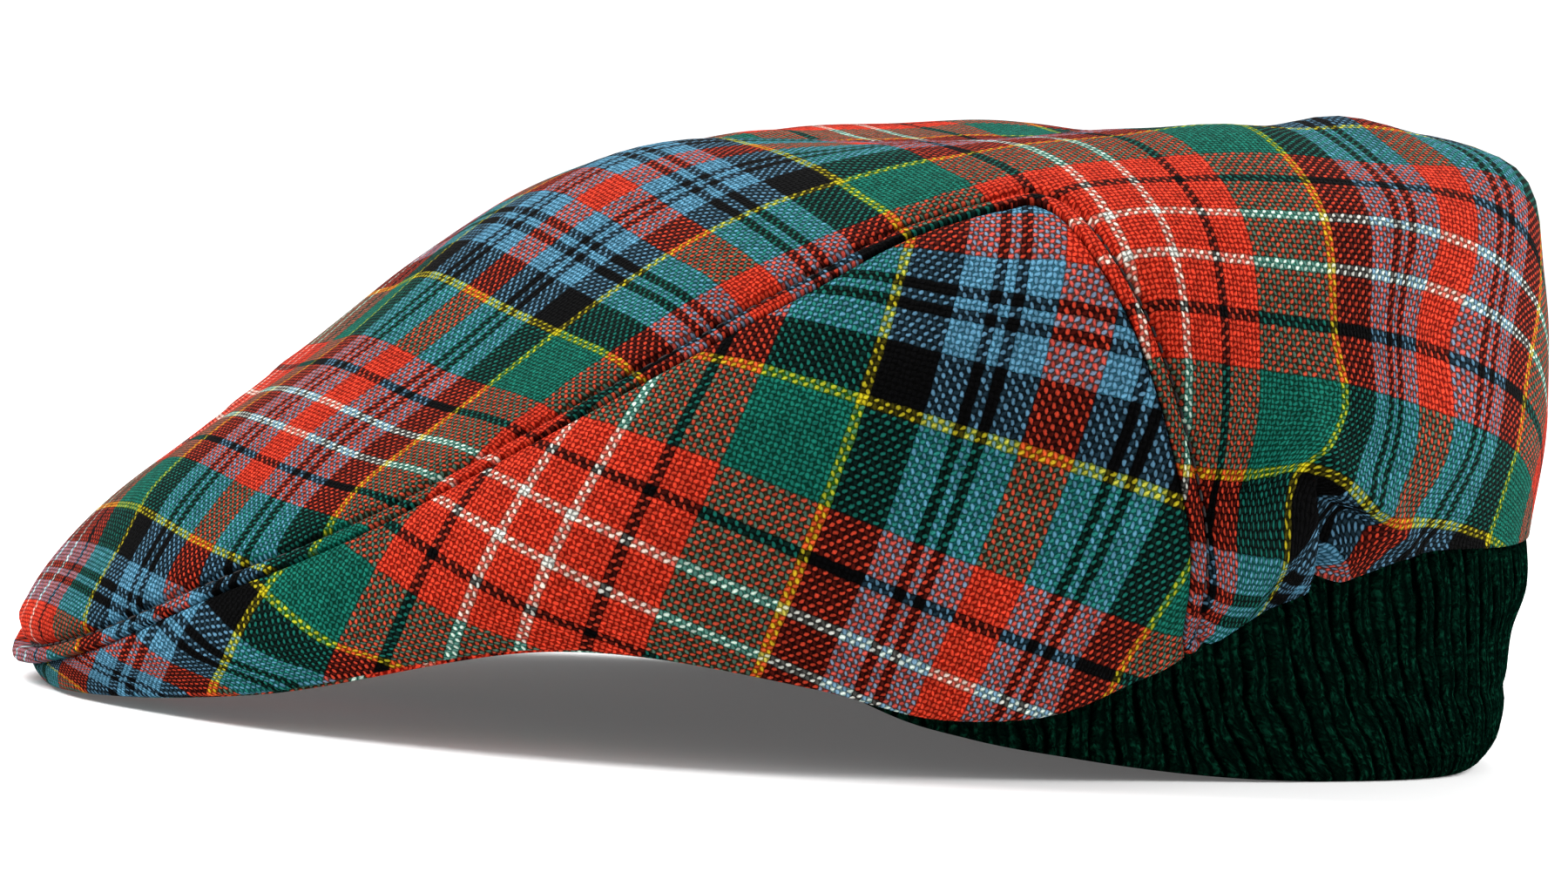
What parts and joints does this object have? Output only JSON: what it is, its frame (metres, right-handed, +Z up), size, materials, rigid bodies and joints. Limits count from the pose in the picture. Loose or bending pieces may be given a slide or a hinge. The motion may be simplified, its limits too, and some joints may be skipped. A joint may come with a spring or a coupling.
{
  "type": "flat cap",
  "caption": "Tartan flat cap with a crown panel, side panels, a stiff peak inside the front and a ribbed knit band round the back of the head opening.",
  "frame": {"origin": "middle of the cap's outline in plan, on the surface that it rests on", "axes": "+Z up, -Y towards the peak, +X the wearer's left"},
  "size_m": [0.2084, 0.2754, 0.1148],
  "materials": {
    "tartan_top": "woven tartan wool",
    "tartan_side": "woven tartan wool",
    "peak_cloth": "woven cloth over board",
    "rib_knit": "ribbed wool knit"
  },
  "bodies": {
    "root": {"top_panel": "tartan_top", "side_panel_left": "tartan_side", "side_panel_right": "tartan_side", "peak": "peak_cloth", "knit_band": "rib_knit"}
  },
  "joints": []
}
